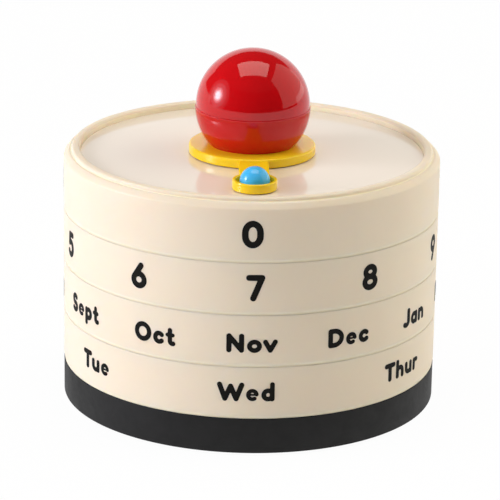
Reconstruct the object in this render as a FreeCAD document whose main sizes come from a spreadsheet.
import FreeCAD, Part
import os
import Sketcher

# A perpetual desk calendar: a black weighted base carries a hollow core drum, three lettered rings
# and a stepped cap turn on the drum, and a pointer with a ball knob turns on a post above the cap.
# Millimetres, +Z up, origin on the surface under the middle, reading column towards -Y.

SIZES = {
    # Stack of rings
    "ring_radius": 50.0,
    "ring_wall": 2.5,
    "ring_pitch": 13.95,
    "ring_count": 3.0,
    "seam_gap": 0.3,
    "collar_wall": 2.0,
    "web_thick": 2.0,
    "rib_thick": 1.2,
    "rib_drop": 6.0,
    "rib_bury": 0.3,
    "weekday_ribs": 7.0,
    "month_ribs": 6.0,
    "units_ribs": 5.0,
    "cap_ribs": 6.0,
    # Fits
    "run_clear": 0.05,
    "seat_clear": 0.15,
    # Base
    "foot_thick": 0.6,
    "foot_radius": 5.0,
    "foot_inset": 11.9,
    "foot_count": 3.0,
    "foot_turn": 90.0,
    "base_inset": 0.1,
    "base_height": 9.5,
    "base_wall": 2.5,
    "base_break": 0.3,
    "deck_thick": 2.6,
    "drum_sunk": 0.8,
    "cover_thick": 1.6,
    "cover_ledge": 1.0,
    "ballast_thick": 4.8,
    "ballast_gap": 1.0,
    # Core drum
    "drum_radius": 36.0,
    "drum_wall": 2.5,
    "drum_roof": 3.0,
    "hub_radius": 7.0,
    "hub_high": 14.0,
    "drum_ribs": 6.0,
    "drum_rib_thick": 1.5,
    "drum_rib_drop": 8.0,
    # Cap
    "cap_head": 10.35,
    "cap_web": 2.2,
    "cap_lift": 0.5,
    "cap_bore_gap": 0.3,
    "plate_thick": 2.25,
    "recess_deep": 1.8,
    "lip_high": 1.0,
    "lip_wide": 2.15,
    "lip_break": 0.45,
    "shoulder_round": 1.7,
    "shoulder_flat": 0.4,
    # Centre bolt and what is on it
    "bolt_radius": 3.0,
    "bolt_head_radius": 5.5,
    "bolt_head_high": 3.0,
    "bolt_tip": 1.0,
    "bush_radius": 5.0,
    "flange_radius": 8.5,
    "flange_gap": 0.5,
    "washer_thick": 0.6,
    "washer_gap": 0.1,
    "knob_washer_radius": 6.5,
    "pointer_lift": 0.2,
    "nut_flats": 10.0,
    "nut_high": 4.0,
    # Pointer
    "disc_radius": 16.85,
    "pointer_thick": 2.4,
    "pointer_break": 0.4,
    "bridge_wide": 7.8,
    "bridge_thick": 2.1,
    "cup_reach": 33.9,
    "cup_radius": 5.8,
    "cup_wall": 1.0,
    "cup_floor": 0.9,
    "bead_radius": 3.9,
    "bead_skirt": 0.9,
    # Ball
    "ball_radius": 15.3,
    "ball_step": 0.2,
    "ball_rise": 0.4,
    "ball_bore": 10.0,
    "ball_hollow": 9.0,
    "ball_seat": 10.0,
    "ball_floor": 2.0,
    "tongue_high": 1.5,
    "tongue_wall": 0.9,
    "tongue_gap": 0.1,
    "spigot_flats": 10.0,
    "spigot_high": 1.2,
}


# A hexagon's corners and its width over flats, as shares of the distance out to a corner
HEX_FLAT_SHARE = 3 ** 0.5
HEX_CORNER_SHARES = [
    (1.0, 0.0), (0.5, HEX_FLAT_SHARE / 2), (-0.5, HEX_FLAT_SHARE / 2),
    (-1.0, 0.0), (-0.5, -HEX_FLAT_SHARE / 2), (0.5, -HEX_FLAT_SHARE / 2),
]


# Where a shoulder of two flats meets, as a share of its width and height
SHOULDER_SHARE = 1 - 0.5 ** 0.5


class Size:
    """A length as a number, with the spreadsheet expression that gives the same length."""

    def __init__(self, value, text):
        self.value = value
        self.text = text

    def joined(self, other, sign, value):
        return Size(value, "(%s %s %s)" % (self.text, sign, other.text))

    def __add__(self, other):
        other = as_size(other)
        return self.joined(other, "+", self.value + other.value)

    def __sub__(self, other):
        other = as_size(other)
        return self.joined(other, "-", self.value - other.value)

    def __mul__(self, other):
        other = as_size(other)
        return self.joined(other, "*", self.value * other.value)

    def __truediv__(self, other):
        other = as_size(other)
        return self.joined(other, "/", self.value / other.value)

    def __neg__(self):
        return Size(-self.value, "(0 - %s)" % self.text)


def as_size(amount):
    if isinstance(amount, Size):
        return amount
    return Size(float(amount), repr(amount))


class Sheet:
    """The spreadsheet of driving sizes, read as attributes, and the heights worked out from them."""

    def __init__(self, doc, sizes):
        cells = doc.addObject("Spreadsheet::Sheet", "Sizes")
        for row, (name, value) in enumerate(sizes.items(), start=1):
            cells.set("A%d" % row, name)
            cells.set("B%d" % row, "%g" % value)
            cells.setAlias("B%d" % row, name)
            setattr(self, name, Size(value, "Sizes.%s" % name))
        self.base_foot = self.foot_thick
        self.base_top = self.base_foot + self.base_height
        self.deck_under = self.base_top - self.deck_thick
        self.cap_foot = self.base_top + self.ring_pitch * self.ring_count
        self.drum_foot = self.base_top - self.drum_sunk
        self.drum_top = self.cap_foot + self.cap_head - self.cap_lift
        self.plate_seat = self.cap_foot + self.cap_head + self.cap_web
        self.flange_foot = self.plate_seat + self.washer_thick
        self.plate_top = self.plate_seat + self.plate_thick
        self.pointer_foot = self.plate_top + self.pointer_lift
        self.ball_foot = self.pointer_foot + self.pointer_thick
        self.ball_middle = self.ball_foot + self.ball_seat
        self.knob_seat = self.ball_foot + self.ball_floor
        self.nut_foot = self.knob_seat + self.washer_thick
        self.ring_inner = self.ring_radius - self.ring_wall
        self.collar_bore = self.drum_radius + self.run_clear
        self.collar_outer = self.collar_bore + self.collar_wall
        self.drum_inner = self.drum_radius - self.drum_wall
        self.base_radius = self.ring_radius - self.base_inset
        self.base_inner = self.base_radius - self.base_wall
        self.foot_circle = self.base_radius - self.foot_inset
        self.lip_outer = self.ring_radius - self.shoulder_round - self.shoulder_flat
        self.lip_inner = self.lip_outer - self.lip_wide


def plane_of(body, role):
    """One of the body's own origin planes or axes."""
    for feature in body.Origin.OriginFeatures:
        if feature.Role == role:
            return feature
    raise ValueError("no origin feature " + role)


def new_body(doc, name, height):
    """An empty body at a height above the surface."""
    body = doc.addObject("PartDesign::Body", name)
    body.Label = name
    body.AllowCompound = True
    body.setExpression("Placement.Base.z", as_size(height).text)
    return body


def pin(sketch, kind, where, amount):
    """Hold a sketch point at a distance from the sketch's origin, bound to the sheet."""
    row = sketch.addConstraint(Sketcher.Constraint(kind, -1, 1, where[0], where[1], amount.value))
    sketch.setExpression("Constraints[%d]" % row, amount.text)


def pin_point(sketch, where, across, along):
    """Place a sketch point by two sizes; a zero puts it on the axis."""
    if across.value == 0:
        sketch.addConstraint(Sketcher.Constraint("PointOnObject", where[0], where[1], -2))
    else:
        pin(sketch, "DistanceX", where, across)
    if along.value == 0:
        sketch.addConstraint(Sketcher.Constraint("PointOnObject", where[0], where[1], -1))
    else:
        pin(sketch, "DistanceY", where, along)


def new_sketch(body, name, role, lift):
    sketch = body.newObject("Sketcher::SketchObject", name)
    sketch.AttachmentSupport = [(plane_of(body, role), "")]
    sketch.MapMode = "FlatFace"
    sketch.setExpression("AttachmentOffset.Base.z", as_size(lift).text)
    return sketch


def outline(body, name, corners, role="XZ_Plane", lift=0):
    """A closed sketch of straight edges through corners given as pairs of sizes."""
    sketch = new_sketch(body, name, role, lift)
    corners = [(as_size(across), as_size(along)) for across, along in corners]
    count = len(corners)
    spots = [FreeCAD.Vector(across.value, along.value, 0) for across, along in corners]
    for row in range(count):
        sketch.addGeometry(Part.LineSegment(spots[row], spots[(row + 1) % count]), False)
    for row in range(count):
        sketch.addConstraint(Sketcher.Constraint("Coincident", row, 2, (row + 1) % count, 1))
    for row, (across, along) in enumerate(corners):
        pin_point(sketch, (row, 1), across, along)
    return sketch


def circles(body, name, rounds, lift=0):
    """A sketch of circles on the ground plane, each given as across, along and radius."""
    sketch = new_sketch(body, name, "XY_Plane", lift)
    for row, (across, along, radius) in enumerate(rounds):
        across, along, radius = as_size(across), as_size(along), as_size(radius)
        centre = FreeCAD.Vector(across.value, along.value, 0)
        sketch.addGeometry(Part.Circle(centre, FreeCAD.Vector(0, 0, 1), radius.value), False)
        pin_point(sketch, (row, 3), across, along)
        held = sketch.addConstraint(Sketcher.Constraint("Radius", row, radius.value))
        sketch.setExpression("Constraints[%d]" % held, radius.text)
    return sketch


def turned(body, name, corners):
    """A solid of revolution about the body's Z axis."""
    sketch = outline(body, name + "_section", corners)
    solid = body.newObject("PartDesign::Revolution", name)
    solid.Profile = sketch
    solid.ReferenceAxis = (sketch, ["V_Axis"])
    solid.Angle = 360
    return solid


def raised(body, name, sketch, length):
    """A pad upwards from its sketch."""
    pad = body.newObject("PartDesign::Pad", name)
    pad.Profile = sketch
    pad.setExpression("Length", as_size(length).text)
    return pad


def sunk(doc, body, name, sketch, depth, upwards=False):
    """A pocket from its sketch, checked to have taken material away."""
    doc.recompute()
    before = body.Shape.Volume
    pocket = body.newObject("PartDesign::Pocket", name)
    pocket.Profile = sketch
    pocket.setExpression("Length", as_size(depth).text)
    pocket.Reversed = upwards
    doc.recompute()
    if not pocket.Shape.Volume < before:
        raise ValueError(name + " cuts nothing")
    return pocket


def ringed(body, name, originals, count):
    """Copies of features evenly round the body's Z axis."""
    pattern = body.newObject("PartDesign::PolarPattern", name)
    pattern.Originals = originals
    pattern.Axis = (plane_of(body, "Z_Axis"), [""])
    pattern.Angle = 360
    pattern.setExpression("Occurrences", as_size(count).text)
    body.Tip = pattern
    return pattern


def rim_edge(solid, radius, height):
    """The name of the circular edge at a radius and height in the body's own frame."""
    radius, height = as_size(radius).value, as_size(height).value
    best = min(
        (abs(edge.Curve.Radius - radius) + abs(edge.Curve.Center.z - height), row)
        for row, edge in enumerate(solid.Shape.Edges, start=1)
        if isinstance(edge.Curve, Part.Circle)
    )
    return "Edge%d" % best[1]


def broken(doc, body, base, amount, spots):
    """A chamfer on the circular edges at the given radii and heights."""
    doc.recompute()
    ease = body.newObject("PartDesign::Chamfer", body.Label + "_breaks")
    ease.Base = (base, [rim_edge(base, radius, height) for radius, height in spots])
    ease.setExpression("Size", as_size(amount).text)
    body.Tip = ease
    doc.recompute()
    return ease


def spoke(body, name, inner, outer, thick, foot, high):
    """One upright rib along +X, from an inner to an outer radius."""
    half = as_size(thick) / 2
    corners = [(inner, -half), (outer, -half), (outer, half), (inner, half)]
    return raised(body, name, outline(body, name + "_plan", corners, "XY_Plane", foot), high)


def tube(doc, name, height, inner, outer, thick):
    """A flat ring with a square section."""
    body = new_body(doc, name, height)
    sketch = circles(body, name + "_plan", [(0, 0, outer), (0, 0, inner)])
    raised(body, name + "_ring", sketch, thick)
    return body


def sphere(body, name, radius, middle, lowest, highest=None):
    """A spherical zone from one height in the body's own frame up to another, or to the pole."""
    zone = body.newObject("PartDesign::AdditiveSphere", name)
    radius, middle = as_size(radius), as_size(middle)
    zone.setExpression("Radius", radius.text)
    limits = {"Angle1": lowest} if highest is None else {"Angle1": lowest, "Angle2": highest}
    for side, height in limits.items():
        rise = as_size(height) - middle
        zone.setExpression(side, "asin(%s / %s)" % (rise.text, radius.text))
    zone.setExpression("Placement.Base.z", middle.text)
    return zone


def base_shell(doc, s):
    """The black weighted base, open below, with a seat for the drum."""
    body = new_body(doc, "base_shell", s.base_foot)
    top = s.base_height
    under = top - s.deck_thick
    rebate = s.base_inner + s.cover_ledge
    seat = s.drum_radius + s.seat_clear
    bore = s.bolt_radius + s.seat_clear
    shell = turned(body, "base_turned", [
        (s.base_radius, 0), (s.base_radius, top), (seat, top), (seat, top - s.drum_sunk),
        (bore, top - s.drum_sunk), (bore, under), (s.base_inner, under),
        (s.base_inner, s.cover_thick), (rebate, s.cover_thick), (rebate, 0),
    ])
    broken(doc, body, shell, s.base_break, [(s.base_radius, 0), (s.base_radius, top)])
    return body


def base_cover(doc, s):
    """The plate that closes the base from below, laid in the shell's rebate."""
    body = new_body(doc, "base_cover", s.base_foot)
    edge = s.base_inner + s.cover_ledge - s.seat_clear
    raised(body, "cover_disc", circles(body, "cover_plan", [(0, 0, edge)]), s.cover_thick)
    return body


def ballast_ring(doc, s):
    """The steel ring that weights the base, round the head of the centre bolt."""
    height = s.base_foot + s.cover_thick
    inner = s.bolt_head_radius + s.ballast_gap
    return tube(doc, "ballast_ring", height, inner, s.base_inner - s.seat_clear, s.ballast_thick)


def foot(doc, s, number):
    """A rubber pad stuck under the cover."""
    name = "foot_%d" % number
    body = new_body(doc, name, 0)
    raised(body, name + "_pad", circles(body, name + "_plan", [(0, 0, s.foot_radius)]), s.foot_thick)
    turn = s.foot_turn.value + (number - 1) * 360 / s.foot_count.value
    body.setExpression("Placement.Base.x", "%s * cos(%g deg)" % (s.foot_circle.text, turn))
    body.setExpression("Placement.Base.y", "%s * sin(%g deg)" % (s.foot_circle.text, turn))
    return body


def core_drum(doc, s):
    """The fixed drum that the rings turn on, with a hub for the bolt and ribs under its roof."""
    body = new_body(doc, "core_drum", s.drum_foot)
    top = s.drum_top - s.drum_foot
    roof = top - s.drum_roof
    bore = s.bolt_radius + s.seat_clear
    turned(body, "drum_turned", [
        (s.drum_inner, 0), (s.drum_radius, 0), (s.drum_radius, top), (bore, top),
        (bore, top - s.hub_high), (s.hub_radius, top - s.hub_high), (s.hub_radius, roof),
        (s.drum_inner, roof),
    ])
    rib = spoke(body, "drum_rib", s.hub_radius - s.rib_bury, s.drum_inner + s.rib_bury,
                s.drum_rib_thick, roof - s.drum_rib_drop, s.drum_rib_drop + s.rib_bury)
    ringed(body, "drum_roof_ribs", [rib], s.drum_ribs)
    return body


def lettered_ring(doc, s, name, place, ribs):
    """One ring of the stack: outer wall, top web and a running collar that stands on the one below."""
    body = new_body(doc, name, s.base_top + s.ring_pitch * place)
    top = s.ring_pitch
    under = top - s.web_thick
    turned(body, name + "_turned", [
        (s.ring_radius, s.seam_gap), (s.ring_radius, top), (s.collar_bore, top), (s.collar_bore, 0),
        (s.collar_outer, 0), (s.collar_outer, under), (s.ring_inner, under), (s.ring_inner, s.seam_gap),
    ])
    web_ribs(body, s, under, ribs)
    return body


def web_ribs(body, s, under, count):
    """Ribs below a web, from the running collar to the outer wall."""
    rib = spoke(body, body.Label + "_rib", s.collar_outer - s.rib_bury, s.ring_inner + s.rib_bury,
                s.rib_thick, under - s.rib_drop, s.rib_drop + s.rib_bury)
    ringed(body, body.Label + "_ribs", [rib], count)


def tens_cap(doc, s):
    """The cap: a ring's wall and collar under a closed web, with a stepped rim round the recess."""
    body = new_body(doc, "tens_cap", s.cap_foot)
    under = s.cap_head
    seat = under + s.cap_web
    lip_top = seat + s.plate_thick + s.recess_deep
    shoulder = lip_top - s.lip_high
    bore = s.bush_radius + s.cap_bore_gap
    wide = s.shoulder_round
    inset = wide * SHOULDER_SHARE
    cap = turned(body, "cap_turned", [
        (s.ring_radius, s.seam_gap), (s.ring_radius, shoulder - wide),
        (s.ring_radius - inset, shoulder - inset), (s.ring_radius - wide, shoulder),
        (s.lip_outer, shoulder), (s.lip_outer, lip_top), (s.lip_inner, lip_top),
        (s.lip_inner, seat), (bore, seat), (bore, under), (s.collar_bore, under), (s.collar_bore, 0),
        (s.collar_outer, 0), (s.collar_outer, under), (s.ring_inner, under),
        (s.ring_inner, s.seam_gap),
    ])
    broken(doc, body, cap, s.lip_break, [(s.lip_outer, lip_top), (s.lip_inner, lip_top)])
    web_ribs(body, s, under, s.cap_ribs)
    return body


def top_plate(doc, s):
    """The glossy plate laid in the cap's recess."""
    body = new_body(doc, "top_plate", s.plate_seat)
    edge = s.lip_inner - s.seat_clear
    bore = s.flange_radius + s.flange_gap
    plan = circles(body, "plate_plan", [(0, 0, edge), (0, 0, bore)])
    raised(body, "plate_disc", plan, s.plate_thick)
    return body


def centre_bolt(doc, s):
    """The long bolt that ties the base and drum together and carries the pointer at its top."""
    foot_height = s.deck_under - s.bolt_head_high
    body = new_body(doc, "centre_bolt", foot_height)
    tip = s.nut_foot + s.nut_high + s.bolt_tip - foot_height
    turned(body, "bolt_turned", [
        (0, 0), (s.bolt_head_radius, 0), (s.bolt_head_radius, s.bolt_head_high),
        (s.bolt_radius, s.bolt_head_high), (s.bolt_radius, tip), (0, tip),
    ])
    return body


def flange_bush(doc, s):
    """The threaded bush on the bolt: it clamps the drum, and its flange holds the cap down."""
    body = new_body(doc, "flange_bush", s.drum_top)
    step = s.flange_foot - s.drum_top
    top = s.pointer_foot - s.drum_top
    bore = s.bolt_radius + s.run_clear
    turned(body, "bush_turned", [
        (bore, 0), (s.bush_radius, 0), (s.bush_radius, step), (s.flange_radius, step),
        (s.flange_radius, top), (bore, top),
    ])
    return body


def hexagon(body, name, flats, lift=0):
    """A sketch of a hexagon by its width over flats."""
    corner = as_size(flats) / HEX_FLAT_SHARE
    corners = [(corner * across, corner * along) for across, along in HEX_CORNER_SHARES]
    return outline(body, name, corners, "XY_Plane", lift)


def lock_nut(doc, s):
    """The nut at the bolt's top, hidden in the ball."""
    body = new_body(doc, "lock_nut", s.nut_foot)
    raised(body, "nut_hexagon", hexagon(body, "nut_plan", s.nut_flats), s.nut_high)
    bore = circles(body, "nut_bore_plan", [(0, 0, s.bolt_radius + s.run_clear)])
    sunk(doc, body, "nut_bore", bore, s.nut_high, upwards=True)
    return body


def pointer_plate(doc, s):
    """The yellow pointer: disc, bridge and bead cup in one moulding."""
    body = new_body(doc, "pointer_plate", s.pointer_foot)
    disc = raised(body, "pointer_disc", circles(body, "disc_plan", [(0, 0, s.disc_radius)]),
                  s.pointer_thick)
    broken(doc, body, disc, s.pointer_break, [(s.disc_radius, s.pointer_thick)])
    half = s.bridge_wide / 2
    far = -s.cup_reach
    start = half - s.disc_radius
    corners = [(-half, far), (half, far), (half, start), (-half, start)]
    raised(body, "pointer_bridge", outline(body, "bridge_plan", corners, "XY_Plane"), s.bridge_thick)
    raised(body, "pointer_cup", circles(body, "cup_plan", [(0, far, s.cup_radius)]), s.pointer_thick)
    hollow = circles(body, "cup_hollow_plan", [(0, far, s.cup_radius - s.cup_wall)], s.cup_floor)
    sunk(doc, body, "cup_hollow", hollow, s.pointer_thick, upwards=True)
    bore = circles(body, "pointer_bore_plan", [(0, 0, s.bolt_radius + s.run_clear)])
    sunk(doc, body, "pointer_bore", bore, s.pointer_thick, upwards=True)
    socket_foot = s.pointer_thick - s.spigot_high - s.run_clear
    socket = hexagon(body, "socket_plan", s.spigot_flats + s.run_clear * 2, socket_foot)
    sunk(doc, body, "socket", socket, s.pointer_thick, upwards=True)
    return body


def bead(doc, s):
    """The domed bead with a short skirt, seated on the cup's floor."""
    dome = doc.addObject("Part::Sphere", "bead_dome")
    dome.setExpression("Radius", s.bead_radius.text)
    dome.Angle1 = 0
    dome.setExpression("Placement.Base.z", s.bead_skirt.text)
    skirt = doc.addObject("Part::Cylinder", "bead_side")
    skirt.setExpression("Radius", s.bead_radius.text)
    skirt.setExpression("Height", s.bead_skirt.text)
    whole = doc.addObject("Part::MultiFuse", "bead")
    whole.Label = "bead"
    whole.Shapes = [dome, skirt]
    whole.setExpression("Placement.Base.y", (-s.cup_reach).text)
    whole.setExpression("Placement.Base.z", (s.pointer_foot + s.cup_floor).text)
    return whole


def ball_lower_shell(doc, s):
    """The ball's lower half: a flat foot with a hexagonal drive spigot, and a bore for the nut."""
    body = new_body(doc, "ball_lower_shell", s.ball_foot)
    middle = s.ball_seat
    sphere(body, "lower_outside", s.ball_radius, middle, 0, middle)
    plan = hexagon(body, "spigot_plan", s.spigot_flats, -s.spigot_high)
    raised(body, "spigot", plan, s.spigot_high + s.rib_bury)
    hollow = circles(body, "nut_well_plan", [(0, 0, s.ball_bore + s.tongue_wall + s.tongue_gap)], middle)
    sunk(doc, body, "nut_well", hollow, middle - s.ball_floor)
    bore = circles(body, "lower_bore_plan", [(0, 0, s.bolt_radius + s.run_clear)], -s.spigot_high)
    sunk(doc, body, "lower_bore", bore, s.spigot_high + s.ball_floor, upwards=True)
    return body


def ball_upper_shell(doc, s):
    """The ball's upper half, a step smaller and a little taller, with a tongue for the lower half."""
    body = new_body(doc, "ball_upper_shell", s.ball_middle - s.tongue_high)
    middle = s.tongue_high
    outside = s.ball_radius - s.ball_step
    centre = middle + s.ball_rise
    sphere(body, "upper_outside", outside, centre, middle)
    hollow = circles(body, "upper_well_plan", [(0, 0, s.ball_bore)], middle)
    sunk(doc, body, "upper_well", hollow, s.ball_hollow, upwards=True)
    plan = circles(body, "tongue_plan", [(0, 0, s.ball_bore + s.tongue_wall), (0, 0, s.ball_bore)])
    raised(body, "tongue", plan, s.tongue_high)
    return body


def build(doc):
    """Every sub-part, in the order that they go together."""
    s = Sheet(doc, SIZES)
    doc.recompute()
    nodes = [foot(doc, s, number + 1) for number in range(int(s.foot_count.value))]
    nodes += [base_cover(doc, s), ballast_ring(doc, s), base_shell(doc, s), core_drum(doc, s)]
    nodes.append(lettered_ring(doc, s, "weekday_ring", 0, s.weekday_ribs))
    nodes.append(lettered_ring(doc, s, "month_ring", 1, s.month_ribs))
    nodes.append(lettered_ring(doc, s, "units_ring", 2, s.units_ribs))
    nodes += [tens_cap(doc, s), top_plate(doc, s)]
    bush_bore = s.bush_radius + s.washer_gap
    nodes.append(tube(doc, "cap_washer", s.plate_seat, bush_bore, s.flange_radius, s.washer_thick))
    nodes += [flange_bush(doc, s), centre_bolt(doc, s)]
    nodes += [pointer_plate(doc, s), bead(doc, s), ball_lower_shell(doc, s)]
    bolt_bore = s.bolt_radius + s.washer_gap
    nodes.append(tube(doc, "knob_washer", s.knob_seat, bolt_bore, s.knob_washer_radius, s.washer_thick))
    nodes += [lock_nut(doc, s), ball_upper_shell(doc, s)]
    return nodes


def main():
    os.makedirs("parts", exist_ok=True)
    doc = FreeCAD.newDocument("desk_calendar")
    nodes = build(doc)
    doc.recompute()
    for thing in doc.Objects:
        if "Invalid" in thing.State or "Error" in thing.State:
            raise ValueError("%s did not build" % thing.Name)
    for node in nodes:
        if node.Shape.isNull() or not node.Shape.isValid():
            raise ValueError("%s has no sound shape" % node.Label)
    for node in nodes:
        node.Shape.exportStep("parts/%s.step" % node.Label)
        box = node.Shape.BoundBox
        print("%-18s solids %d  z %.2f to %.2f" % (node.Label, len(node.Shape.Solids), box.ZMin, box.ZMax))


main()
